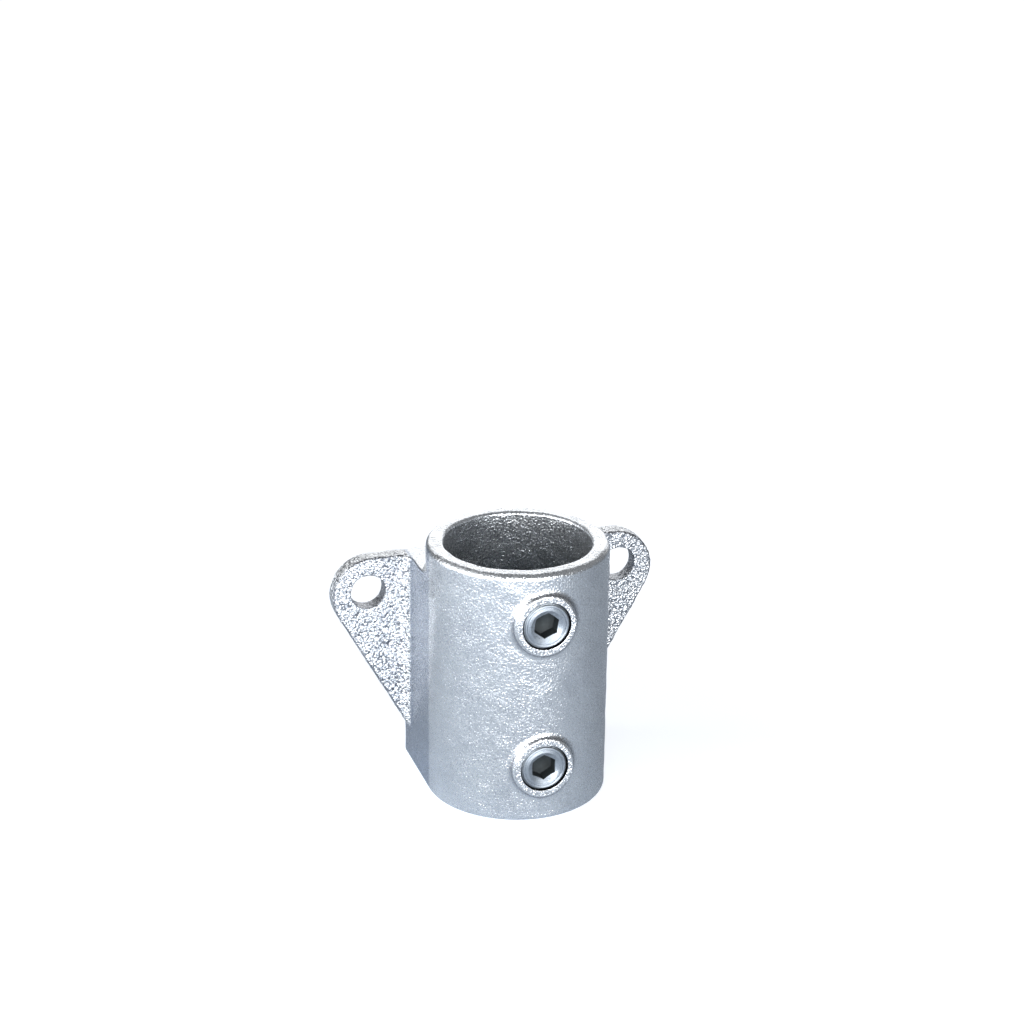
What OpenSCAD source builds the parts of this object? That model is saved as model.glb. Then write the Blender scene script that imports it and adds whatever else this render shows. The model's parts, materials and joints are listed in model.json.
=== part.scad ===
// Wall bracket for a vertical tube: one casting with a through socket,
// two bolt ears and two hexagon socket set screws.
// X runs along the wall, +Y points at the wall, +Z runs up the tube.
// The origin lies on the bore axis, in the plane of the bottom end.

/* [Tube socket] */
// Bore of the socket, wide enough for a 48.3 mm tube to slide through
bore_d = 50.2; // [48.8:0.1:52.4]
// Metal between the bore and the outside of the barrel
barrel_wall = 5.9; // [5:0.1:8]
// Height of the barrel
barrel_h = 90; // [84:1:140]
// Rounding of the bore's edge at both mouths
mouth_r = 1.2; // [0.4:0.1:2]
// Rounding of the outer edge at the top of the barrel
rim_r = 2; // [0.6:0.1:2.6]
// Rounding of the outer edge at the bottom
foot_r = 1.5; // [0.6:0.1:2.4]

/* [Wall plate] */
// Metal between the bore and the wall face
back_wall = 5.9; // [4.5:0.1:10]
// Thickness of the ears
ear_t = 6; // [4:0.25:9]
// Height of the plain collar above the ears
collar_h = 11.8; // [6:0.2:18]
// Height at which the lower edges of the ears leave the body
ear_root_z = 12.4; // [6:0.2:24]
// Radius of the ear tips
ear_tip_r = 14; // [12.4:0.2:17]
// Metal from the middle of a bolt hole to the tip and to the top of its ear
ear_edge = 12.4; // [10.4:0.2:15]
// Distance between the two bolt holes
hole_spacing = 91; // [86:1:120]
// Diameter of the bolt holes
hole_d = 12.2; // [8:0.1:14]
// Fillet between the ears and the flanks of the body
root_fillet = 5; // [2:0.5:8]
// Rounding of the edges of the ears and shoulders
edge_r = 1.2; // [0.4:0.1:1.8]

/* [Set screw bosses] */
// Height of the lower set screw above the bottom end
low_screw_z = 20; // [16:0.5:28]
// Distance of the upper set screw below the top end
top_screw_drop = 18; // [16:0.5:28]
// Diameter of the flat face of a boss
boss_d = 21.2; // [19:0.2:24]
// Height of a boss above the front of the barrel
boss_h = 1.25; // [0.6:0.05:3]
// Rounding of a boss's outer edge
boss_edge_r = 0.6; // [0.2:0.1:1]
// Concave flare from the side of a boss to the barrel
boss_flare = 2.5; // [1.5:0.1:4]
// Countersink at the mouth of a screw hole
hole_sink = 0.3; // [0.2:0.1:0.8]

/* [Set screws] */
// Diameter over the threads of a set screw
screw_d = 16.2; // [14:0.1:17.4]
// Clearance between a set screw and its hole, all round
screw_gap = 0.12; // [0.05:0.01:0.3]
// Clearance left between the bore and the tip of a backed off screw
tip_gap = 0.4; // [0.3:0.05:1.5]
// Depth of the upper screw below the face of its boss
upper_recess = 0.1; // [0:0.05:0.6]
// Depth of the lower screw below the face of its boss
lower_recess = 0.3; // [0:0.05:0.6]
// Height of the lead at the outer end of a set screw, where its thread runs out
head_lead = 1; // [0.4:0.1:1.4]
// Depth of that lead below the threads
head_drop = 0.5; // [0.2:0.05:0.9]
// Chamfer at the tip of a set screw
tip_chamfer = 1.2; // [0.4:0.1:1.8]
// Width of the hexagon socket across its flats
hex_af = 8; // [6:0.1:9]
// Diameter of the countersink round the socket
hex_sink_d = 11.4; // [10.8:0.1:13]
// Metal left under the hexagon socket
socket_floor = 1.4; // [1:0.1:2.5]
// Depth of the cup in the tip
cup_depth = 0.6; // [0.2:0.1:0.9]
// Turn of the upper screw's socket, 30 for a corner straight up
upper_turn = 22; // [0:1:60]
// Turn of the lower screw's socket
lower_turn = 30; // [0:1:60]

/* [Hidden] */
$fn = 96;
bore_r = bore_d / 2;
barrel_r = bore_r + barrel_wall;
wall_y = bore_r + back_wall;
ear_y = wall_y - ear_t;
shoulder_z = barrel_h - collar_h;
hole_x = hole_spacing / 2;
hole_z = shoulder_z - ear_edge;
tip_x = hole_x + ear_edge - ear_tip_r;
tip_z = shoulder_z - ear_tip_r;
face_y = barrel_r + boss_h;
low_z = low_screw_z;
top_z = barrel_h - top_screw_drop;
screw_len = face_y - bore_r - tip_gap - max(upper_recess, lower_recess);
overcut = 1;

// Lower edge of an ear: a line from its root on the flank, crossing just inside the tip's arc
tip_bite = 0.05;
tip_line_r = ear_tip_r - tip_bite;
root_to_tip = norm([tip_x - barrel_r, tip_z - ear_root_z]);
slope = atan2(tip_z - ear_root_z, tip_x - barrel_r) - asin(tip_line_r / root_to_tip);
slope_len = sqrt(root_to_tip ^ 2 - tip_line_r ^ 2);

// Square corner less a quarter disc: what rounding takes from an edge
module corner_waste(r) {
    difference() {
        square(r + overcut);
        circle(r);
    }
}

// Section of the barrel wall, from the axis out, with its outer edges rounded
module barrel_section() {
    difference() {
        square([barrel_r, barrel_h]);
        translate([barrel_r - rim_r, barrel_h - rim_r]) corner_waste(rim_r);
        translate([barrel_r - foot_r, foot_r]) mirror([0, 1]) corner_waste(foot_r);
    }
}

// Front view of the block behind the barrel, with rounded shoulders and feet
module block_outline() {
    difference() {
        translate([-barrel_r, 0]) square([2 * barrel_r, shoulder_z]);
        for (side = [0, 1]) mirror([side, 0]) {
            translate([barrel_r - edge_r, shoulder_z - edge_r]) corner_waste(edge_r);
            translate([barrel_r - foot_r, foot_r]) mirror([0, 1]) corner_waste(foot_r);
        }
    }
}

// Front view of one ear and of the strip that joins it to the body
module ear_outline() {
    along = [cos(slope), sin(slope)];
    outward = [sin(slope), -cos(slope)];
    corner = [tip_x, tip_z] + outward * (ear_tip_r + overcut);
    difference() {
        union() {
            polygon([
                [0, shoulder_z], [tip_x, shoulder_z], [tip_x, tip_z],
                corner, corner - along * slope_len, [0, ear_root_z]
            ]);
            translate([tip_x, tip_z]) circle(ear_tip_r);
        }
        translate([barrel_r, ear_root_z]) rotate(slope) translate([-slope_len, -2 * ear_tip_r])
            square([3 * slope_len, 2 * ear_tip_r]);
    }
}

// One ear, flat on the wall side, with the edge of its front face rounded
module ear() {
    front = ear_y + edge_r;
    difference() {
        translate([0, wall_y, 0]) rotate([90, 0, 0]) linear_extrude(ear_t) ear_outline();
        translate([0, front, shoulder_z - edge_r]) rotate([90, 0, 90]) linear_extrude(tip_x)
            mirror([1, 0]) corner_waste(edge_r);
        translate([tip_x, front, tip_z]) rotate([90, 0, 0]) rotate([0, 0, slope - 90])
            rotate_extrude(angle = 180 - slope) translate([ear_tip_r - edge_r, 0]) corner_waste(edge_r);
        translate([barrel_r, front, ear_root_z]) rotate([0, -slope, 0])
            translate([-overcut, 0, edge_r]) rotate([90, 0, 90])
                linear_extrude(slope_len + 2 * edge_r + 2 * overcut) rotate(180) corner_waste(edge_r);
    }
}

// Concave web that leads an ear's front face into the flank of the body
module root_web() {
    centre = [barrel_r + root_fillet, ear_y - root_fillet];
    overlap = 2 * edge_r;
    intersection() {
        difference() {
            linear_extrude(shoulder_z) difference() {
                translate([barrel_r - overlap, centre[1]]) square(root_fillet + overlap);
                translate(centre) circle(root_fillet);
            }
            translate([centre[0], centre[1], shoulder_z - edge_r]) rotate_extrude()
                translate([root_fillet + edge_r, 0]) mirror([1, 0]) corner_waste(edge_r);
        }
        translate([0, wall_y, 0]) rotate([90, 0, 0]) linear_extrude(wall_y) ear_outline();
    }
}

// Raised ring round a set screw; the foot of its flare meets the barrel at the ring's two sides
module boss() {
    side_r = boss_d / 2;
    foot_rad = side_r + boss_flare;
    foot_y = sqrt(barrel_r ^ 2 - foot_rad ^ 2);
    rotate([90, 0, 0]) rotate_extrude() difference() {
        translate([0, bore_r - overcut]) square([foot_rad, face_y - bore_r + overcut]);
        translate([foot_rad, foot_y + boss_flare]) circle(boss_flare);
        translate([side_r, foot_y + boss_flare]) square([foot_rad, barrel_r]);
        translate([side_r - boss_edge_r, face_y - boss_edge_r]) corner_waste(boss_edge_r);
    }
}

// Hole for a set screw, from the socket out through the face of its boss
module screw_hole() {
    hole_r = screw_d / 2 + screw_gap;
    rotate([90, 0, 0]) {
        cylinder(h = face_y + overcut, r = hole_r);
        translate([0, 0, face_y - hole_sink])
            cylinder(h = hole_sink + overcut, r1 = hole_r, r2 = hole_r + hole_sink + overcut);
    }
}

// Bore along the tube's axis, with both mouths rounded
module socket() {
    translate([0, 0, -overcut]) cylinder(h = barrel_h + 2 * overcut, r = bore_r);
    for (top = [0, 1]) translate([0, 0, top * barrel_h]) mirror([0, 0, 1 - top])
        translate([0, 0, -mouth_r]) rotate_extrude()
            translate([bore_r + mouth_r, 0]) mirror([1, 0]) corner_waste(mouth_r);
}

// Grub screw along -Y, its head at the given depth below the face of its boss
module set_screw(recess, turn) {
    thread_r = screw_d / 2;
    socket_r = hex_af / 2 / cos(30);
    sink_r = hex_sink_d / 2;
    sink_depth = (sink_r - hex_af / 2) * tan(30);
    translate([0, recess + screw_len - face_y, 0]) rotate([90, 0, 0]) difference() {
        rotate_extrude() polygon([
            [0, 0], [thread_r - tip_chamfer, 0], [thread_r, tip_chamfer],
            [thread_r, screw_len - head_lead], [thread_r - head_drop, screw_len], [0, screw_len]
        ]);
        translate([0, 0, socket_floor]) rotate(turn)
            cylinder(h = screw_len, r = socket_r, $fn = 6);
        translate([0, 0, screw_len - sink_depth])
            cylinder(h = sink_depth + overcut, r1 = hex_af / 2, r2 = sink_r + overcut / tan(30));
        translate([0, 0, -overcut])
            cylinder(h = cup_depth + overcut, r1 = hex_af / 2 + cup_depth + overcut, r2 = hex_af / 2);
    }
}

module bracket_casting() {
    color("lightsteelblue") difference() {
        union() {
            rotate_extrude() barrel_section();
            translate([0, wall_y, 0]) rotate([90, 0, 0]) linear_extrude(wall_y) block_outline();
            for (side = [0, 1]) mirror([side, 0, 0]) {
                ear();
                root_web();
            }
            for (z = [low_z, top_z]) translate([0, 0, z]) boss();
        }
        socket();
        for (z = [low_z, top_z]) translate([0, 0, z]) screw_hole();
        for (side = [-1, 1]) translate([side * hole_x, wall_y + overcut, hole_z]) rotate([90, 0, 0])
            cylinder(h = ear_t + 2 * overcut, d = hole_d);
    }
}

module upper_set_screw() {
    color("slategray") translate([0, 0, top_z]) set_screw(upper_recess, upper_turn);
}

module lower_set_screw() {
    color("slategray") translate([0, 0, low_z]) set_screw(lower_recess, lower_turn);
}

bracket_casting();
upper_set_screw();
lower_set_screw();
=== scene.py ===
import json
import math

import bpy
import numpy as np
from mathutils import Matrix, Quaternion, Vector


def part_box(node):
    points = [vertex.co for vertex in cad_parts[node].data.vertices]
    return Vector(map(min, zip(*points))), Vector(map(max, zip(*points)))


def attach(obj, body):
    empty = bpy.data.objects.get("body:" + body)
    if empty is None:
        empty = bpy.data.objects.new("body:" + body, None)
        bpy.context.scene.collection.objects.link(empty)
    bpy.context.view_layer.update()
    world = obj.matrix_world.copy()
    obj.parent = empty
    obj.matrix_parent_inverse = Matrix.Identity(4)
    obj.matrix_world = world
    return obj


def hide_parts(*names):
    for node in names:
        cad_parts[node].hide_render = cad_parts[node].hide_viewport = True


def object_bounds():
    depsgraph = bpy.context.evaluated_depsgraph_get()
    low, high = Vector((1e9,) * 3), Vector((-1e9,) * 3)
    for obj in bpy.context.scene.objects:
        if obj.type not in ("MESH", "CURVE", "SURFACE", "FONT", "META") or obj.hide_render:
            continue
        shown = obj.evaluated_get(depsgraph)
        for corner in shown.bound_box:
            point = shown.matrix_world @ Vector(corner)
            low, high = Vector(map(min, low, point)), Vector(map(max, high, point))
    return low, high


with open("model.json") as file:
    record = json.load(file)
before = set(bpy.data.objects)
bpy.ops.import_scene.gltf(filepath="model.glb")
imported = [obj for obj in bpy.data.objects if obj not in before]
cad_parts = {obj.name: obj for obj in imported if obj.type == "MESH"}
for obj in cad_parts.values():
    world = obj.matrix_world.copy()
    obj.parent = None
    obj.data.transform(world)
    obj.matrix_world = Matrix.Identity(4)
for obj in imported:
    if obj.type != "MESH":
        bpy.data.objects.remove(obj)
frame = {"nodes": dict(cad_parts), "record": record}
cadLow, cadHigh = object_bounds()
mm = 0.001
mounts = {mount["name"]: mount for mount in frame["record"]["mounts"]}
screwHeights = [sum(corner.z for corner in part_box(node)) / 2 / mm
                for node in ("lower_set_screw", "upper_set_screw")]
print("frame loaded:", ", ".join(sorted(frame["nodes"])))


# Rounding of solids that are given as distances (below 0 inside, all in millimetres)

def roundJoin(a, b, radius):
    # Union with a fillet: inside the fillet's square, the distance to a circle tangent to both
    corner = np.hypot(np.maximum(radius - a, 0), np.maximum(radius - b, 0))
    return np.maximum(radius, np.minimum(a, b)) - corner


def roundCut(a, b, radius):
    # Intersection with a rounded edge: near the corner, the distance to a circle tangent to both
    corner = np.hypot(np.maximum(radius + a, 0), np.maximum(radius + b, 0))
    return np.minimum(-radius, np.maximum(a, b)) + corner


def softStep(low, high, value):
    # 0 below low, 1 above high, and a smooth cubic between them
    t = np.clip((value - low) / (high - low), 0, 1)
    return t * t * (3 - 2 * t)


def softFrom(edge, reach, value):
    # softStep between two places that are given from an edge
    return softStep(edge + reach[0], edge + reach[1], value)


def waveNoise(points, shortest, longest, count, seed):
    # Sum of plane waves with random directions, lengths and phases, scaled to unit spread
    random = np.random.default_rng(seed)
    direction = random.normal(size=(3, count))
    direction /= np.linalg.norm(direction, axis=0)
    number = 2 * math.pi / random.uniform(shortest, longest, count)
    phase = random.uniform(0, 2 * math.pi, count)
    return np.cos(points @ (direction * number) + phase).sum(axis=1) * math.sqrt(2 / count)


# The casting: sizes in millimetres

casting = {
    "wall": 5.9,            # metal between the bore and the outside
    "shoulderDrop": 11.8,   # top edge of the ears below the top of the barrel
    "earThickness": 6.0,
    "earRootZ": 12.4,       # where the lower edges of the ears leave the body
    "earEdge": 12.4,        # metal round a bolt hole, to the tip and to the top edge
    "tipRadius": 14.0,
    "mouthRound": 1.2,
    "rimRound": 2.0,
    "footRound": 1.5,
    "edgeRound": 0.8,
    "backRound": 0.5,
    "webFillet": 5.0,       # between the ears and the flanks
    "collarFillet": 2.0,    # between the shoulders and the collar
    "bossColumnR": 10.2,
    "bossFlare": 2.6,
    "bossRound": 0.35,
    "screwHoleR": 8.22,
    "screwHoleRound": 0.3,
    "boltHoleRound": 0.5,
    "cell": 0.42,           # spacing of the first mesh
    "relaxSteps": 4,
    "triangles": 192000,
    "waviness": 0.05,       # slow unevenness of the sand mould, none at the foot
    "waves": (5, 16, 40, 3),            # its shortest and longest wave, their count and the seed
    "calmFoot": 4.0,        # height at which it is full
    "calmHole": (0.1, 0.5),             # where it starts and is full round a tapped hole
    "pebbling": 0.045,      # coarse grain of the ears
    "pebbles": (1.5, 2.6, 70, 7),       # its waves
    "grainSide": (0.1, 0.8),            # where that grain starts and is full past the block's side,
    "grainFront": (-6.0, -4.0),         # in front of the ears,
    "grainBack": (-0.7, -0.3),          # and where it fades out before the wall face
    "maskDepth": 1.6,       # how far creases and edges are felt by the painted shade and highlight masks
    "lineInset": 0.35,      # painted shade line inside the front edge of the ears
    "lineWidth": 0.32,
    "lineSide": (1.0, 3.0),             # where it starts and is full past the block's side
    "lineDepth": (0.5, 0.9),            # where it fades out behind the front of the ears
}


def castingField(points):
    # Distance to the casting: barrel, block and ears joined, bosses added, bore and holes cut
    c = casting
    x, y, z = np.abs(points[:, 0]), points[:, 1], points[:, 2]
    boreR = mounts["tube_socket"]["dims"]["r_mm"]
    outerR = boreR + c["wall"]
    wallY, top, faceY = cadHigh.y / mm, cadHigh.z / mm, -cadLow.y / mm
    shoulder = top - c["shoulderDrop"]
    rho = np.hypot(x, y)

    barrel = roundCut(rho - outerR, z - top, c["rimRound"])
    flank = np.where(y > 0, x, rho) - outerR
    plate = wallY - c["earThickness"] - y
    shelf = roundJoin(rho - outerR, z - shoulder, c["collarFillet"])
    block = roundCut(flank, shelf, c["edgeRound"])
    ears = roundCut(roundJoin(flank, plate, c["webFillet"]), earOutline(x, z, shoulder),
                    c["edgeRound"])
    behind = np.maximum(np.minimum(block, ears), z - shoulder - c["collarFillet"])
    behind = roundCut(behind, y - wallY, c["backRound"])
    solid = roundCut(np.minimum(barrel, behind), -z, c["footRound"])

    for height in screwHeights:
        column = np.maximum(np.hypot(x, z - height) - c["bossColumnR"], y + boreR - c["wall"])
        solid = roundJoin(solid, column, c["bossFlare"])
    solid = roundCut(solid, -y - faceY, c["bossRound"])
    solid = roundCut(solid, boreR - rho, c["mouthRound"])
    for height in screwHeights:
        hole = np.where(y < 0, c["screwHoleR"] - np.hypot(x, z - height), -c["wall"])
        solid = roundCut(solid, hole, c["screwHoleRound"])
    bolts = mounts["wall_bolts"]
    boltX, boltZ = bolts["dims"]["spacing_x_mm"] / 2, bolts["pos_m"][2] / mm
    hole = bolts["dims"]["hole_r_mm"] - np.hypot(x - boltX, z - boltZ)
    return roundCut(solid, hole, c["boltHoleRound"])


def earOutline(x, z, shoulder):
    # Distance to the ear's front view: a wedge between the top edge and the sloped lower edge,
    # both tangent to the arc of the tip. Past the arc's centre it is the distance to that centre.
    c = casting
    boltX = mounts["wall_bolts"]["dims"]["spacing_x_mm"] / 2
    tipX, tipZ = boltX + c["earEdge"] - c["tipRadius"], shoulder - c["tipRadius"]
    rootX = mounts["tube_socket"]["dims"]["r_mm"] + c["wall"]
    reach = math.hypot(tipX - rootX, tipZ - c["earRootZ"])
    slope = (math.atan2(tipZ - c["earRootZ"], tipX - rootX)
             - math.asin(c["tipRadius"] / reach))
    u, v = x - tipX, z - tipZ
    below = math.sin(slope) * u - math.cos(slope) * v
    along = math.cos(slope) * u + math.sin(slope) * v
    outside = np.where((u > 0) & (along > 0), np.hypot(u, v), np.maximum(v, below))
    return outside - c["tipRadius"]


def slopeOf(field, points, step=0.02):
    # Gradient of a field by central differences
    slopes = []
    for axis in range(3):
        shift = np.zeros(3)
        shift[axis] = step
        slopes.append((field(points + shift) - field(points - shift)) / (2 * step))
    return np.stack(slopes, axis=1)


def directionOf(field, points):
    # Unit normal of a field's surface
    slope = slopeOf(field, points)
    return slope / np.maximum(np.linalg.norm(slope, axis=1), 1e-6)[:, None]


def settle(field, points, rounds):
    # Newton steps along the gradient put every point on the field's surface
    for _ in range(rounds):
        value, slope = field(points), slopeOf(field, points)
        size = np.maximum((slope ** 2).sum(axis=1), 0.05)
        points = points - np.clip(value / size, -0.5, 0.5)[:, None] * slope
    return points


def relax(points, edges):
    # Each point moves halfway to the mean of its neighbours
    count = np.bincount(edges.ravel(), minlength=len(points))[:, None]
    total = np.zeros_like(points)
    for axis in range(3):
        total[:, axis] = (np.bincount(edges[:, 0], points[edges[:, 1], axis], len(points))
                          + np.bincount(edges[:, 1], points[edges[:, 0], axis], len(points)))
    return points + 0.5 * (total / np.maximum(count, 1) - points)


def getPoints(mesh):
    flat = np.empty(len(mesh.vertices) * 3, np.float32)
    mesh.vertices.foreach_get("co", flat)
    return flat.reshape(-1, 3).astype(float) / mm


def setPoints(mesh, points):
    mesh.vertices.foreach_set("co", (points * mm).astype(np.float32).ravel())
    mesh.update()


def addValue(mesh, name, values):
    layer = mesh.attributes.new(name, "FLOAT", "POINT")
    layer.data.foreach_set("value", values.astype(np.float32))


def applyModifier(piece, kind, **settings):
    modifier = piece.modifiers.new(kind.lower(), kind)
    for name, value in settings.items():
        setattr(modifier, name, value)
    graph = bpy.context.evaluated_depsgraph_get()
    made = bpy.data.meshes.new_from_object(piece.evaluated_get(graph))
    piece.modifiers.clear()
    piece.data = made


def addPiece(name, mesh, materials, slotName, *nodes):
    piece = bpy.data.objects.new(name, mesh)
    bpy.context.scene.collection.objects.link(piece)
    for material in materials:
        mesh.materials.append(material)
    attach(piece, "root")
    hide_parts(*nodes)
    return piece


def makeCasting(materials):
    # The CAD mesh is copied, merged and meshed evenly, then its points are put on castingField
    c = casting
    start = frame["nodes"]["bracket_casting"].data.copy()
    start.materials.clear()
    piece = addPiece("bracketCasting", start, [], "galvanised_casting", "bracket_casting")
    applyModifier(piece, "WELD", merge_threshold=0.002 * mm)
    applyModifier(piece, "REMESH", mode="VOXEL", voxel_size=c["cell"] * mm)
    mesh = piece.data
    edges = np.empty(len(mesh.edges) * 2, np.int32)
    mesh.edges.foreach_get("vertices", edges)
    edges = edges.reshape(-1, 2)
    points = settle(castingField, getPoints(mesh), 4)
    for _ in range(c["relaxSteps"]):
        points = settle(castingField, relax(points, edges), 1)
    points = settle(castingField, points, 2)
    normal = directionOf(castingField, points)
    setPoints(mesh, points + normal * unevenness(points)[:, None])
    share = c["triangles"] / (2 * len(mesh.polygons))
    if share < 1:
        applyModifier(piece, "DECIMATE", ratio=share, use_collapse_triangulate=True)
        mesh = piece.data
    points = settle(roughField, getPoints(mesh), 1)
    setPoints(mesh, points)
    normal = directionOf(roughField, points)
    for name, values in castingMasks(points, normal).items():
        addValue(mesh, name, values)
    for material in materials:
        mesh.materials.append(material)
    mesh.shade_smooth()
    mesh.normals_split_custom_set_from_vertices(normal.tolist())
    print("casting:", len(mesh.polygons), "faces")


def earMask(points):
    # 1 on the ears and their webs, 0 on the body and on the wall face
    c = casting
    x, y = np.abs(points[:, 0]), points[:, 1]
    side = mounts["tube_socket"]["dims"]["r_mm"] + c["wall"]
    wallY = cadHigh.y / mm
    plateY = wallY - c["earThickness"]
    return (softFrom(side, c["grainSide"], x) * softFrom(plateY, c["grainFront"], y)
            * (1 - softFrom(wallY, c["grainBack"], y)))


def tappedMask(points):
    # 1 in the holes of the set screws, 0 outside them
    c = casting
    x, y, z = np.abs(points[:, 0]), points[:, 1], points[:, 2]
    inside = [1 - softStep(*c["calmHole"], np.hypot(x, z - height) - c["screwHoleR"])
              for height in screwHeights]
    return np.where(y < 0, np.maximum(*inside), 0)


def unevenness(points):
    # Height of the mould's slow waves all over and of coarse grain on the ears
    c = casting
    waves = c["waviness"] * waveNoise(points, *c["waves"]) * softStep(0, c["calmFoot"], points[:, 2])
    grain = c["pebbling"] * waveNoise(points, *c["pebbles"]) * earMask(points)
    return (waves + grain) * (1 - tappedMask(points))


def roughField(points):
    return castingField(points) - unevenness(points)


def castingMasks(points, normal):
    # Values from 0 to 1: ears and webs for the coarse grain; a painted shade line along the ears' front
    # edge, painted shade in creases and painted highlight on edges. The line is a bell curve of the
    # distance to the ear's outline.
    c = casting
    depth = c["maskDepth"]
    x, top = np.abs(points[:, 0]), cadHigh.z / mm
    edge = earOutline(x, points[:, 2], top - c["shoulderDrop"])
    plateY = cadHigh.y / mm - c["earThickness"]
    side = mounts["tube_socket"]["dims"]["r_mm"] + c["wall"]
    line = np.exp(-((edge + c["lineInset"]) / c["lineWidth"]) ** 2)
    line *= softFrom(side, c["lineSide"], x)
    return {
        "pebbled": earMask(points),
        "earLine": line * (1 - softStep(*c["lineDepth"], points[:, 1] - plateY)),
        "hollow": np.clip(1 - castingField(points + normal * depth) / depth, 0, 1),
        "ridge": np.clip(1 + castingField(points - normal * depth) / depth, 0, 1),
    }


# The set screws: sizes in millimetres

screw = {
    "threadR": 8.1,
    "rootDepth": 0.75,
    "pitch": 1.337,
    "threadFlat": 0.06,     # share of a flank that is flat at the crest and at the root
    "length": 6.45,
    "headLead": 1.0,        # height of the lead where the thread runs out at the head
    "headDrop": 0.5,        # depth of that lead
    "tipChamfer": 1.2,
    "hexAcross": 8.0,
    "sinkR": 5.6,           # countersink round the socket
    "sinkAngle": 30.0,
    "grooveR": 6.65,        # turned groove in the face
    "grooveWidth": 0.5,
    "grooveDepth": 0.14,
    "rimRound": 0.4,
    "floor": 1.4,           # metal under the socket
    "drillCone": 0.5,       # hollow of the drill's point in that floor
    "cupR": 4.6,
    "cupDepth": 0.6,
    "columns": 288,
    "threadStep": 0.09,
}
screwPlaces = {
    "lower_set_screw": {"recess": 0.3, "turn": 30.0},
    "upper_set_screw": {"recess": 0.1, "turn": 22.0},
}


def screwRings(turn):
    # Radius and height of each ring, from the socket's floor over the head to the cup in the tip.
    # A hexagon's radius at an angle is its half width over the cosine from the nearest flat.
    s = screw
    angle = np.linspace(0, 2 * math.pi, s["columns"], endpoint=False)
    even = np.ones_like(angle)
    fold = np.mod(angle - math.radians(turn) + math.pi / 6, math.pi / 3) - math.pi / 6
    half = s["hexAcross"] / 2
    hexR = half / np.cos(math.pi / 6 - np.abs(fold))
    sinkSlope = math.tan(math.radians(s["sinkAngle"]))
    rings = [(0 * even, (s["floor"] - s["drillCone"]) * even)]
    for part in (0.35, 0.7, 0.92):
        rings.append((part * half * even, (s["floor"] - s["drillCone"] * (1 - part)) * even))
    edge = s["length"] - (s["sinkR"] - hexR) * sinkSlope
    for part in (0, 0.02, 0.35, 0.7, 0.97, 1):
        rings.append((hexR, s["floor"] + (edge - s["floor"]) * part))
    for part in (0.04, 0.3, 0.65, 0.96, 1):
        rings.append((hexR + (s["sinkR"] - hexR) * part, edge + (s["length"] - edge) * part))
    # The turned face: a land, a groove shaped as one cosine wave, and a rim of a quarter circle
    rimR = s["threadR"] - s["headDrop"]
    for radius in np.linspace(s["sinkR"] + 0.05, rimR - s["rimRound"], 18):
        groove = np.clip(1 - np.abs(radius - s["grooveR"]) / s["grooveWidth"] * 2, 0, 1)
        depth = s["grooveDepth"] * (0.5 - 0.5 * math.cos(math.pi * groove))
        rings.append((radius * even, (s["length"] - depth) * even))
    for turned in np.linspace(15, 90, 6):
        swing = math.radians(turned)
        rings.append(((rimR - s["rimRound"] * (1 - math.sin(swing))) * even,
                      (s["length"] - s["rimRound"] * (1 - math.cos(swing))) * even))
    for height in np.arange(s["length"] - s["rimRound"] - s["threadStep"], -1e-6, -s["threadStep"]):
        rings.append((threadRadius(height, angle), height * even))
    # The tip: a flat land, then a cup with a wall at 45 degrees
    for part in (0.98, 0.94):
        rings.append((part * (s["threadR"] - s["tipChamfer"]) * even, 0 * even))
    for part in (1, 0.97):
        rings.append(((s["cupR"] + 0.4 * part) * even, 0 * even))
    for part in (0, 0.5, 1):
        rings.append(((s["cupR"] - s["cupDepth"] * part) * even, s["cupDepth"] * part * even))
    rings.append((0 * even, s["cupDepth"] * even))
    return rings


def threadRadius(height, angle):
    # Crest less a vee with small flats, which advances one pitch each turn, under both ends' leads
    s = screw
    phase = np.mod(height / s["pitch"] + angle / (2 * math.pi), 1)
    flat = s["threadFlat"]
    vee = np.clip((1 + 2 * flat) * (1 - np.abs(2 * phase - 1)) - flat, 0, 1)
    lead = s["threadR"] - s["headDrop"] * max(0, 1 - (s["length"] - height) / s["headLead"])
    tip = s["threadR"] - max(0, s["tipChamfer"] - height)
    return np.minimum(s["threadR"] - s["rootDepth"] * vee, min(lead, tip))


def ringSurface(name, rings, place):
    # Rings of equal size joined by quads. The two end rings, of radius 0, become single points.
    radius = np.array([ring[0] for ring in rings[1:-1]])
    height = np.array([ring[1] for ring in rings[1:-1]])
    angle = np.linspace(0, 2 * math.pi, radius.shape[1], endpoint=False)
    points = place(radius * np.cos(angle), radius * np.sin(angle), height).reshape(-1, 3)
    ends = [place(np.zeros(1), np.zeros(1), rings[k][1][:1]).reshape(1, 3) for k in (0, -1)]
    rows, columns = radius.shape
    first = np.arange(rows * columns).reshape(rows, columns)
    following = np.roll(first, -1, axis=1)
    quads = np.stack([first[:-1], following[:-1], following[1:], first[1:]], axis=-1).reshape(-1, 4)
    start, end = rows * columns, rows * columns + 1
    fans = np.concatenate([
        np.stack([np.full(columns, start), following[0], first[0]], axis=-1),
        np.stack([np.full(columns, end), first[-1], following[-1]], axis=-1)])
    mesh = bpy.data.meshes.new(name)
    allPoints = np.concatenate([points, *ends]) * mm
    mesh.from_pydata(allPoints.tolist(), [], quads.tolist() + fans.tolist())
    mesh.update()
    return mesh


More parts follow.
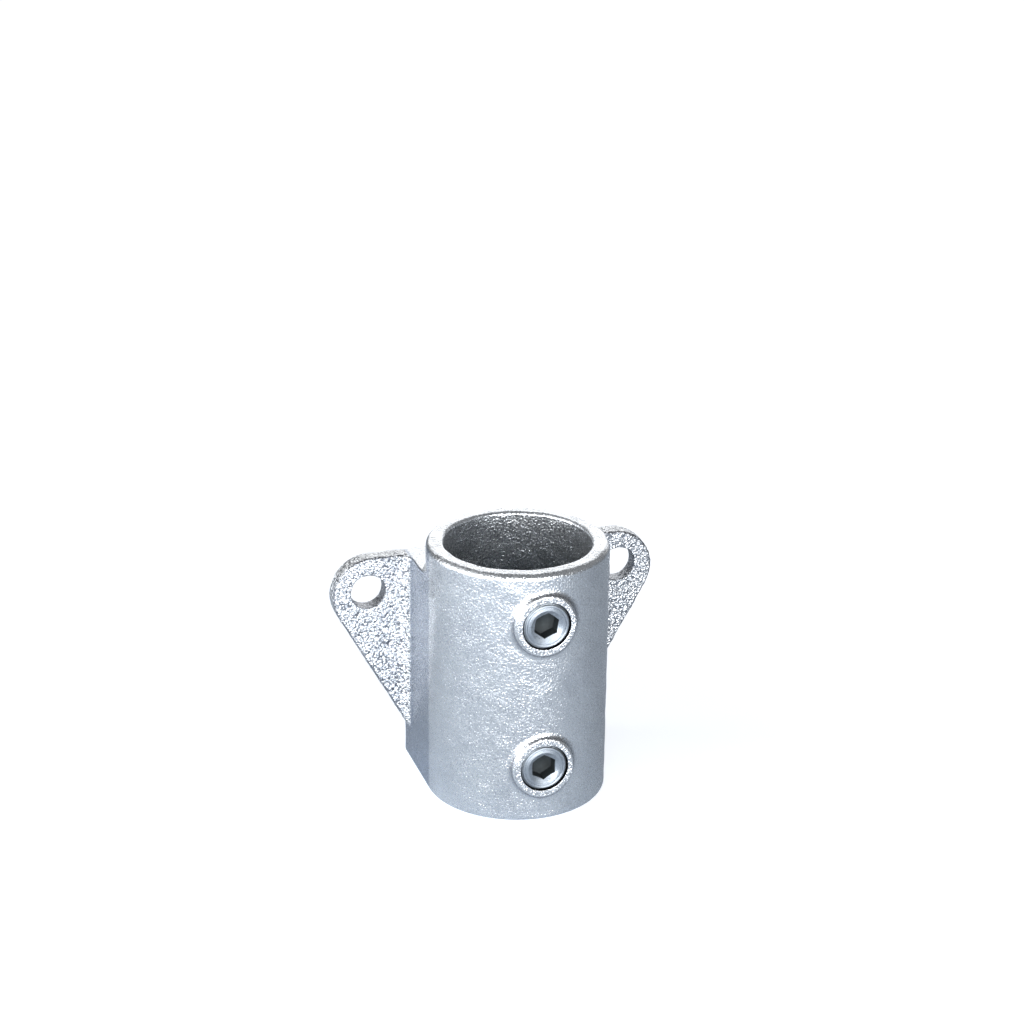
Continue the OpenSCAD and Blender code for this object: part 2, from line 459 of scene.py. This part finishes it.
def makeScrew(node, materials):
    low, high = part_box(node)
    middle = (low.z + high.z) / 2 / mm
    s, where = screw, screwPlaces[node]
    tipY = cadLow.y / mm + where["recess"] + s["length"]

    def place(across, up, height):
        return np.stack([across, tipY - height, middle + up], axis=-1)

    name = node.split("_")[0] + "SetScrew"
    mesh = ringSurface(name, screwRings(where["turn"]), place)
    points = getPoints(mesh)
    away = np.hypot(points[:, 0], points[:, 2] - middle)
    addValue(mesh, "faceRadius", away * mm)
    addPiece(name, mesh, materials, "plated_steel", node)
    middleOf = np.empty(len(mesh.polygons) * 3, np.float32)
    mesh.polygons.foreach_get("center", middleOf)
    middleOf = middleOf.reshape(-1, 3) / mm
    away = np.hypot(middleOf[:, 0], middleOf[:, 2] - middle)
    # The socket's faces lie within the hexagon's corners, behind the countersink and before the cup
    inside = away < s["hexAcross"] / 2 / math.cos(math.pi / 6) + 0.01
    inside &= middleOf[:, 1] < tipY - s["cupDepth"] - 0.1
    edgeY = tipY - s["length"] + (s["sinkR"] - away) * math.tan(math.radians(s["sinkAngle"]))
    inside &= middleOf[:, 1] > edgeY + 0.02
    # The socket's faces take the second material, a near-black painted shade
    mesh.polygons.foreach_set("material_index", inside.astype(np.int32))
    mesh.shade_smooth()
    mesh.set_sharp_from_angle(angle=math.radians(32))
    print(name + ":", len(mesh.polygons), "faces")


# Shader node groups and materials

def setSocket(tree, socket, value):
    # Links another node's output to the socket, or gives it a constant value
    if isinstance(value, bpy.types.NodeSocket):
        tree.links.new(value, socket)
    else:
        socket.default_value = value


def addNode(tree, kind, inputs=None, **settings):
    node = tree.nodes.new(kind)
    for name, value in settings.items():
        setattr(node, name, value)
    for name, value in (inputs or {}).items():
        setSocket(tree, node.inputs[name], value)
    return node


def mathNode(tree, operation, a, b=0.0):
    return addNode(tree, "ShaderNodeMath", {0: a, 1: b}, operation=operation).outputs[0]


def mixColor(tree, factor, a, b):
    mixed = addNode(tree, "ShaderNodeMix", data_type="RGBA", blend_type="MIX")
    for index, value in ((0, factor), (6, a), (7, b)):
        setSocket(tree, mixed.inputs[index], value)
    return mixed.outputs[2]


def rescale(tree, value, low, high, newLow, newHigh):
    return addNode(tree, "ShaderNodeMapRange", {
        "Value": value, "From Min": low, "From Max": high,
        "To Min": newLow, "To Max": newHigh}).outputs[0]


def newGroup(name, inputs, outputs):
    tree = bpy.data.node_groups.new(name, "ShaderNodeTree")
    for label, kind, default in inputs:
        socket = tree.interface.new_socket(label, in_out="INPUT", socket_type=kind)
        if default is not None:
            socket.default_value = default
    for label, kind in outputs:
        tree.interface.new_socket(label, in_out="OUTPUT", socket_type=kind)
    return tree, tree.nodes.new("NodeGroupInput"), tree.nodes.new("NodeGroupOutput")


def makeGrainGroup():
    # Sand-mould grain: round pebbles with sharp creases between them, and finer grit
    tree, given, made = newGroup("sandGrain", [
        ("Vector", "NodeSocketVector", None), ("Size", "NodeSocketFloat", 900.0),
        ("Pebbles", "NodeSocketFloat", 0.5),
        ("Crease start", "NodeSocketFloat", 0.3), ("Crease end", "NodeSocketFloat", 0.08),
    ], [("Height", "NodeSocketFloat"), ("Crease", "NodeSocketFloat"), ("Speck", "NodeSocketFloat")])
    vector, size = given.outputs["Vector"], given.outputs["Size"]
    bend = addNode(tree, "ShaderNodeTexNoise", {"Vector": vector, "Scale": size, "Detail": 1.0})
    bend = addNode(tree, "ShaderNodeVectorMath", {0: bend.outputs["Color"], 1: (0.5, 0.5, 0.5)},
                   operation="SUBTRACT").outputs[0]
    reach = mathNode(tree, "DIVIDE", 1.3, size)
    bent = addNode(tree, "ShaderNodeVectorMath", {0: bend, "Scale": reach}, operation="SCALE").outputs[0]
    bent = addNode(tree, "ShaderNodeVectorMath", {0: vector, 1: bent}, operation="ADD").outputs[0]
    cells = addNode(tree, "ShaderNodeTexVoronoi", {
        "Vector": bent, "Scale": size, "Smoothness": 0.35}, feature="SMOOTH_F1").outputs["Distance"]
    pebble = rescale(tree, cells, 0.05, 0.65, 1.0, 0.0)
    grit = addNode(tree, "ShaderNodeTexNoise", {
        "Vector": vector, "Scale": mathNode(tree, "MULTIPLY", size, 1.3), "Detail": 2.0,
        "Roughness": 0.6}).outputs["Fac"]
    grit = rescale(tree, grit, 0.25, 0.75, 0.0, 1.0)
    height = mixColor(tree, given.outputs["Pebbles"], grit, pebble)
    crease = rescale(tree, height, given.outputs["Crease start"], given.outputs["Crease end"], 0.0, 1.0)
    fine = addNode(tree, "ShaderNodeTexNoise", {
        "Vector": vector, "Scale": mathNode(tree, "MULTIPLY", size, 1.9), "Detail": 1.0}).outputs["Fac"]
    tree.links.new(height, made.inputs["Height"])
    tree.links.new(crease, made.inputs["Crease"])
    tree.links.new(rescale(tree, fine, 0.35, 0.65, 0.0, 1.0), made.inputs["Speck"])
    return tree


def axisDistance(tree, place, across, along):
    # Distance from an axis parallel to Y, through x = across and z = along
    flat = addNode(tree, "ShaderNodeVectorMath", {
        0: place, 1: (-across * mm, 0, -along * mm)}, operation="ADD").outputs[0]
    flat = addNode(tree, "ShaderNodeVectorMath", {0: flat, 1: (1, 0, 1)}, operation="MULTIPLY").outputs[0]
    return addNode(tree, "ShaderNodeVectorMath", {0: flat}, operation="LENGTH").outputs["Value"]


def ramp(tree, value, start, end):
    # From 0 at one distance in millimetres to 1 at another
    return rescale(tree, value, start * mm, end * mm, 0.0, 1.0)


def rampFrom(tree, value, edge, reach):
    # The same between two places that are given from an edge
    return ramp(tree, value, edge + reach[0], edge + reach[1])


def band(tree, value, start, end, soft):
    # 1 between two distances in millimetres, with soft sides
    return mathNode(tree, "MULTIPLY", ramp(tree, value, start - soft, start + soft),
                    ramp(tree, value, end + soft, end - soft))


def strongest(tree, *values):
    highest = values[0]
    for value in values[1:]:
        highest = mathNode(tree, "MAXIMUM", highest, value)
    return highest


def makeToneGroup():
    # Slow clouding of a metal's colour between two tones
    tree, given, made = newGroup("metalClouding", [
        ("Vector", "NodeSocketVector", None), ("Size", "NodeSocketFloat", 60.0),
        ("Light tone", "NodeSocketColor", (0.7, 0.7, 0.7, 1)),
        ("Dark tone", "NodeSocketColor", (0.5, 0.5, 0.5, 1)),
    ], [("Color", "NodeSocketColor")])
    cloud = addNode(tree, "ShaderNodeTexNoise", {
        "Vector": given.outputs["Vector"], "Scale": given.outputs["Size"],
        "Detail": 4.0, "Roughness": 0.6}).outputs["Fac"]
    cloud = rescale(tree, cloud, 0.3, 0.7, 0.0, 1.0)
    color = mixColor(tree, cloud, given.outputs["Dark tone"], given.outputs["Light tone"])
    tree.links.new(color, made.inputs["Color"])
    return tree


def placeGroup(tree, group, **inputs):
    node = addNode(tree, "ShaderNodeGroup", node_tree=group)
    for name, value in inputs.items():
        setSocket(tree, node.inputs[name.replace("_", " ")], value)
    return node.outputs


def startMaterial(name):
    material = bpy.data.materials.new(name)
    material.use_nodes = True
    tree = material.node_tree
    tree.nodes.clear()
    shader = addNode(tree, "ShaderNodeBsdfPrincipled")
    addNode(tree, "ShaderNodeOutputMaterial", {"Surface": shader.outputs[0]})
    place = addNode(tree, "ShaderNodeTexCoord").outputs["Object"]
    return material, tree, shader.inputs, place


def readValue(tree, name):
    return addNode(tree, "ShaderNodeAttribute", attribute_name=name).outputs["Fac"]


zinc = {
    "lightTone": (0.74, 0.765, 0.79, 1),
    "darkTone": (0.64, 0.665, 0.70, 1),
    # painted shade colour, for grain creases, hollows, boss feet, the ears' front line and the bolt-hole
    # walls
    "creaseTone": (0.10, 0.11, 0.14, 1),
    # painted highlight colour, for edges, boss rims, glints, grain peaks and the painted light on the
    # ears and boss faces
    "edgeTone": (0.90, 0.92, 0.94, 1),
    "holeTone": (0.01, 0.01, 0.012, 1),     # painted shade in the tapped holes
    "cloudSize": 70.0,                      # clouds per metre
    "flankTone": (0.38, 0.42, 0.49, 1),     # painted shade on the flat sides of the block
    "earLift": 0.6,                         # painted light: how far the ears and boss faces go to the highlight tone
    "metallic": 0.95,
    "roughness": (0.20, 0.32),              # at the lowest and the highest speck
    "earGrain": (1350.0, 1.0, 0.00026),     # grains per metre, share of pebbles, depth in metres
    "bodyGrain": (1250.0, 0.80, 0.00011),
    "earCreases": 0.72,                     # painted shade in the creases between the grains
    "bodyCreases": 0.30,
    "creaseReach": (0.12, 0.02),            # heights where the painted crease shade starts and is darkest
    "peakReach": (0.62, 0.9, 0.6),          # heights where the painted highlight on a grain peak starts and is brightest, and how bright that is
                                            # and how bright that is
    "bodyPeaks": 0.25,                      # strength of the painted peak highlights on the body, where the ears have 1
    "ridgeReach": (0.3, 0.9, 0.6),          # the same for the painted highlight on the casting's edges
    "sparkleReach": (0.70, 0.78, 0.4),      # and for the noise that places single painted glints
    "sparkleSize": 1500.0,
    # How strongly each place takes its tone: painted shade in hollows, at the foot of a boss, along the
    # ears' front line and on the walls of the bolt holes, painted highlight on the edge of a boss, and
    # the coarse grain on a boss
    "hollowShade": 0.5,
    "bossFootShade": 0.75,
    "bossEdgeLight": 0.8,
    "earLineShade": 0.9,
    "boltHoleShade": 0.55,
    "bossGrain": 0.5,
    # Sizes of those places in millimetres
    "frontY": -20.0,                        # the bosses and their holes lie in front of this
    "bossSpread": 0.38,                     # the face of a boss past its column
    "bossEdgeWidth": 0.35,
    "bossFootWidth": 1.5,
    "softness": 0.15,
    # Where a place's painted shade starts and is full, in millimetres
    "flankSide": (-0.7, -0.3),              # from the block's side
    "flankFront": (-0.6, 1.2),              # from the middle of the tube
    "flankBack": (-0.6, -0.9),              # from the wall face
    "tappedEdge": (0.25, 0.1),              # from the radius of a tapped hole
    "drilledEdge": (0.45, 0.1),             # from the radius of a bolt hole
}


def zincRegions(tree, place, pebbled):
    # Masks from 0 to 1, worked out from distances in the casting: boss faces, painted highlight on their
    # outer edges, and painted shade at their feet, in tapped holes, in bolt holes and on flat sides
    c, m = casting, zinc
    along = addNode(tree, "ShaderNodeSeparateXYZ", {0: place}).outputs
    front = mathNode(tree, "LESS_THAN", along["Y"], m["frontY"] * mm)

    def onFront(value):
        return mathNode(tree, "MULTIPLY", value, front)

    sideX = mounts["tube_socket"]["dims"]["r_mm"] + c["wall"]
    flank = rampFrom(tree, mathNode(tree, "ABSOLUTE", along["X"]), sideX, m["flankSide"])
    for limit in (rampFrom(tree, along["Y"], 0, m["flankFront"]),
                  rampFrom(tree, along["Y"], cadHigh.y / mm, m["flankBack"]),
                  mathNode(tree, "SUBTRACT", 1.0, pebbled)):
        flank = mathNode(tree, "MULTIPLY", flank, limit)

    boss = mathNode(tree, "MINIMUM", *[axisDistance(tree, place, 0, height) for height in screwHeights])
    bossR, soft = c["bossColumnR"] + m["bossSpread"], m["softness"]
    foot = mathNode(tree, "MULTIPLY", onFront(ramp(tree, boss, bossR + m["bossFootWidth"], bossR)),
                    ramp(tree, boss, bossR, bossR + 2 * soft))

    bolts = mounts["wall_bolts"]
    halfSpacing, boltZ = bolts["dims"]["spacing_x_mm"] / 2, bolts["pos_m"][2] / mm
    bolt = mathNode(tree, "MINIMUM", *[
        axisDistance(tree, place, side * halfSpacing, boltZ) for side in (-1, 1)])
    return {
        "flank": flank,
        "bossFace": onFront(band(tree, boss, 0, bossR, soft)),
        "bossEdge": onFront(band(tree, boss, bossR - m["bossEdgeWidth"], bossR, soft)),
        "bossFoot": foot,
        "tapped": onFront(rampFrom(tree, boss, c["screwHoleR"], m["tappedEdge"])),
        "drilled": rampFrom(tree, bolt, bolts["dims"]["hole_r_mm"], m["drilledEdge"]),
    }


def makeZinc(grainGroup, toneGroup):
    m = zinc
    material, tree, sockets, place = startMaterial("galvanised")
    pebbled, hollow, ridge = [readValue(tree, name) for name in ("pebbled", "hollow", "ridge")]
    region = zincRegions(tree, place, pebbled)

    def share(value, name):
        return mathNode(tree, "MULTIPLY", value, m[name])

    def reach(value, name):
        start, end, most = m[name]
        return rescale(tree, value, start, end, 0.0, most)

    coarse = mathNode(tree, "MAXIMUM", pebbled, share(region["bossFace"], "bossGrain"))
    grains, heights = [], []
    for size, pebbles, depth in (m["bodyGrain"], m["earGrain"]):
        grain = placeGroup(tree, grainGroup, Vector=place, Size=size, Pebbles=pebbles,
                           Crease_start=m["creaseReach"][0], Crease_end=m["creaseReach"][1])
        grains.append(grain)
        heights.append(mathNode(tree, "MULTIPLY", grain["Height"], depth))
    tone = placeGroup(tree, toneGroup, Vector=place, Size=m["cloudSize"],
                      Light_tone=m["lightTone"], Dark_tone=m["darkTone"])
    # Painted shade in the creases between the grains
    creaseShade = mixColor(tree, coarse, share(grains[0]["Crease"], "bodyCreases"),
                       share(grains[1]["Crease"], "earCreases"))
    # Painted shade: grain creases, hollows, the feet of the bosses and the ears' front line
    dark = strongest(tree, creaseShade, share(hollow, "hollowShade"),
                     share(region["bossFoot"], "bossFootShade"),
                     share(readValue(tree, "earLine"), "earLineShade"))

    # Painted glints: single bright specks from a fine noise
    glint = addNode(tree, "ShaderNodeTexNoise", {
        "Vector": place, "Scale": m["sparkleSize"], "Detail": 0.0}).outputs["Fac"]
    # Painted highlights on the grain peaks, weaker on the body
    peaks = mixColor(tree, coarse, grains[0]["Height"], grains[1]["Height"])
    peaks = mathNode(tree, "MULTIPLY", reach(peaks, "peakReach"),
                     rescale(tree, coarse, 0.0, 1.0, m["bodyPeaks"], 1.0))
    # Painted highlights: convex edges, boss rims, glints and grain peaks
    bright = strongest(tree, reach(ridge, "ridgeReach"), share(region["bossEdge"], "bossEdgeLight"),
                       reach(glint, "sparkleReach"), peaks)

    # Painted light: the ears and boss faces go towards the highlight tone
    color = mixColor(tree, share(coarse, "earLift"), tone["Color"], m["edgeTone"])
    # Painted shade on the flat sides of the block
    color = mixColor(tree, region["flank"], color, m["flankTone"])
    color = mixColor(tree, dark, color, m["creaseTone"])
    color = mixColor(tree, bright, color, m["edgeTone"])
    # Painted shade on the walls of the bolt holes
    color = mixColor(tree, share(region["drilled"], "boltHoleShade"), color, m["creaseTone"])
    # Painted shade: the tapped holes go near black
    color = mixColor(tree, region["tapped"], color, m["holeTone"])
    tree.links.new(color, sockets["Base Color"])
    sockets["Metallic"].default_value = m["metallic"]
    tree.links.new(rescale(tree, grains[0]["Speck"], 0.0, 1.0, *m["roughness"]), sockets["Roughness"])
    # The heights are in metres, so the bump's own distance is 1
    bump = addNode(tree, "ShaderNodeBump", {
        "Strength": 1.0, "Distance": 1.0, "Height": mixColor(tree, coarse, *heights)})
    tree.links.new(bump.outputs[0], sockets["Normal"])
    return material


steel = {
    "lightTone": (0.46, 0.51, 0.56, 1),
    "darkTone": (0.34, 0.38, 0.43, 1),
    "metallic": 0.9,
    "roughness": (0.26, 0.42),
    "ringPitch": 0.00022,   # spacing of the turned rings on the head
    "ringDepth": 0.00003,
    "ringStrength": 0.6,
    "cloudSize": 240.0,
    "grain": (2600.0, 0.2, 0.00003),        # grains per metre, share of pebbles, depth in metres
    "grainStrength": 0.5,
}


def makeSteel(grainGroup, toneGroup):
    m = steel
    material, tree, sockets, place = startMaterial("platedSteel")
    radius = readValue(tree, "faceRadius")
    # The turned rings are a sine wave of the distance from the screw's axis
    turned = mathNode(tree, "SINE", mathNode(tree, "MULTIPLY", radius, 2 * math.pi / m["ringPitch"]))
    size, pebbles, depth = m["grain"]
    grain = placeGroup(tree, grainGroup, Vector=place, Size=size, Pebbles=pebbles)
    tone = placeGroup(tree, toneGroup, Vector=place, Size=m["cloudSize"],
                      Light_tone=m["lightTone"], Dark_tone=m["darkTone"])
    tree.links.new(tone["Color"], sockets["Base Color"])
    sockets["Metallic"].default_value = m["metallic"]
    tree.links.new(rescale(tree, grain["Speck"], 0.0, 1.0, *m["roughness"]), sockets["Roughness"])
    rings = addNode(tree, "ShaderNodeBump", {
        "Strength": m["ringStrength"], "Distance": m["ringDepth"], "Height": turned})
    bump = addNode(tree, "ShaderNodeBump", {
        "Strength": m["grainStrength"], "Distance": depth, "Height": grain["Height"],
        "Normal": rings.outputs[0]})
    tree.links.new(bump.outputs[0], sockets["Normal"])
    return material


socketSteel = {
    # Painted shade: near-black colour inside the hexagon socket
    "lightTone": (0.035, 0.045, 0.05, 1),
    "darkTone": (0.015, 0.02, 0.022, 1),
    "cloudSize": 300.0,
    "metallic": 0.3,
    "roughness": 0.5,
    "grain": (2000.0, 0.3, 0.00004),
    "grainStrength": 0.5,
}


def makeSocketShadeSteel(grainGroup, toneGroup):
    m = socketSteel
    material, tree, sockets, place = startMaterial("socketSteel")
    size, pebbles, depth = m["grain"]
    grain = placeGroup(tree, grainGroup, Vector=place, Size=size, Pebbles=pebbles)
    tone = placeGroup(tree, toneGroup, Vector=place, Size=m["cloudSize"],
                      Light_tone=m["lightTone"], Dark_tone=m["darkTone"])
    tree.links.new(tone["Color"], sockets["Base Color"])
    sockets["Metallic"].default_value = m["metallic"]
    sockets["Roughness"].default_value = m["roughness"]
    bump = addNode(tree, "ShaderNodeBump", {
        "Strength": m["grainStrength"], "Distance": depth, "Height": grain["Height"]})
    tree.links.new(bump.outputs[0], sockets["Normal"])
    return material


# Floor, light and camera

studio = {
    "floorHalf": 3.0,           # half the floor's width in metres
    "floorColor": (0.53, 0.59, 0.67, 1),
    "floorGlow": (0.70, 1.0),   # added to what the camera sees of the floor, near and far
    "glowReach": (0.10, 0.45),  # distances at which that glow starts and ends rising
    "worldColor": (0.70, 0.82, 1.0, 1),
    "worldLevel": 0.05,
    "mirroredSky": 0.20,        # share of the white background that metal mirrors, above the
    "mirroredFloor": 0.02,      # horizon and below it
    "lamps": {
        # azimuth and elevation in degrees, then distance, width and height in metres, radiance
        "frontLamp": (-4, 14, 0.78, 0.82, 0.43, 7.4),
        "sideLamp": (-75, 16, 0.78, 1.20, 0.43, 5.2),
        "leftLamp": (-100, 48, 0.80, 0.50, 0.50, 0.6),
        "backLamp": (155, 9, 0.90, 0.90, 0.30, 1.3),
        "rimLamp": (164, 24, 0.90, 0.80, 0.38, 1.5),
    },
}


def aimFrom(aim, azimuth, elevation, distance):
    # Azimuth 0 looks along +Y, and the elevation is above the horizon
    a, e = math.radians(azimuth), math.radians(elevation)
    back = Vector((math.sin(a) * math.cos(e), -math.cos(a) * math.cos(e), math.sin(e)))
    return aim + back * distance, (-back).to_track_quat("-Z", "Y")


def backgroundShare(tree, mirroredShare):
    # 1 for what the camera sees, straight or through glass, and a share of it in reflections
    path = addNode(tree, "ShaderNodeLightPath").outputs
    seen = mathNode(tree, "MAXIMUM", path["Is Camera Ray"], path["Is Transmission Ray"])
    mirrored = mathNode(tree, "MULTIPLY", path["Is Glossy Ray"], mirroredShare)
    return mathNode(tree, "MAXIMUM", seen, mirrored)


def makeStudio():
    s = studio
    middle = (cadLow + cadHigh) / 2
    for name, (azimuth, elevation, distance, width, height, radiance) in s["lamps"].items():
        lamp = bpy.data.lights.new(name, "AREA")
        lamp.shape, lamp.size, lamp.size_y = "RECTANGLE", width, height
        lamp.energy = radiance * math.pi * width * height
        holder = bpy.data.objects.new(name, lamp)
        bpy.context.scene.collection.objects.link(holder)
        holder.location, turn = aimFrom(middle, azimuth, elevation, distance)
        holder.rotation_euler = turn.to_euler()
        holder.visible_camera = False

    world = bpy.data.worlds.new("studio")
    bpy.context.scene.world = world
    world.use_nodes = True
    tree = world.node_tree
    tree.nodes.clear()
    seen = backgroundShare(tree, s["mirroredSky"])
    light = addNode(tree, "ShaderNodeBackground", {"Color": s["worldColor"], "Strength": s["worldLevel"]})
    white = addNode(tree, "ShaderNodeBackground", {"Color": (1, 1, 1, 1), "Strength": 1.0})
    mixed = addNode(tree, "ShaderNodeMixShader", {0: seen, 1: light.outputs[0], 2: white.outputs[0]})
    addNode(tree, "ShaderNodeOutputWorld", {"Surface": mixed.outputs[0]})

    half = s["floorHalf"]
    mesh = bpy.data.meshes.new("floor")
    corners = [(-half, -half), (half, -half), (half, half), (-half, half)]
    mesh.from_pydata([(x, y, cadLow.z) for x, y in corners], [], [(0, 1, 2, 3)])
    floor = bpy.data.objects.new("floor", mesh)
    bpy.context.scene.collection.objects.link(floor)
    material, tree, sockets, place = startMaterial("floorPaint")
    sockets["Base Color"].default_value = s["floorColor"]
    sockets["Roughness"].default_value = 0.9
    sockets["Specular IOR Level"].default_value = 0.0
    sockets["Emission Color"].default_value = (1, 1, 1, 1)
    seen = backgroundShare(tree, s["mirroredFloor"])
    away = addNode(tree, "ShaderNodeVectorMath", {0: place}, operation="LENGTH").outputs["Value"]
    glow = rescale(tree, away, *s["glowReach"], *s["floorGlow"])
    tree.links.new(mathNode(tree, "MULTIPLY", seen, glow), sockets["Emission Strength"])
    mesh.materials.append(material)


camera = {
    "aim": (-0.002228, 0.0, 0.100304),
    "azimuth": -17.975, "elevation": 21.785, "distance": 0.84063,
    "roll": 0.748, "lens": 88.525, "sensor": 36.0,
}


def makeCamera():
    c = camera
    data = bpy.data.cameras.new("camera")
    data.lens, data.sensor_width = c["lens"], c["sensor"]
    data.clip_start = 0.01
    holder = bpy.data.objects.new("camera", data)
    bpy.context.scene.collection.objects.link(holder)
    place, turn = aimFrom(Vector(c["aim"]), c["azimuth"], c["elevation"], c["distance"])
    holder.location = place
    holder.rotation_euler = (turn @ Quaternion((0, 0, 1), math.radians(c["roll"]))).to_euler()
    bpy.context.scene.camera = holder


makeCamera()
makeStudio()
print("camera, lamps and floor made")
grainGroup, toneGroup = makeGrainGroup(), makeToneGroup()
zincMaterial = makeZinc(grainGroup, toneGroup)
steelMaterial = makeSteel(grainGroup, toneGroup)
socketShadeMaterial = makeSocketShadeSteel(grainGroup, toneGroup)
print("materials made")
makeCasting([zincMaterial])
for node in screwPlaces:
    makeScrew(node, [steelMaterial, socketShadeMaterial])

view = bpy.context.scene.view_settings
view.view_transform = "Standard"
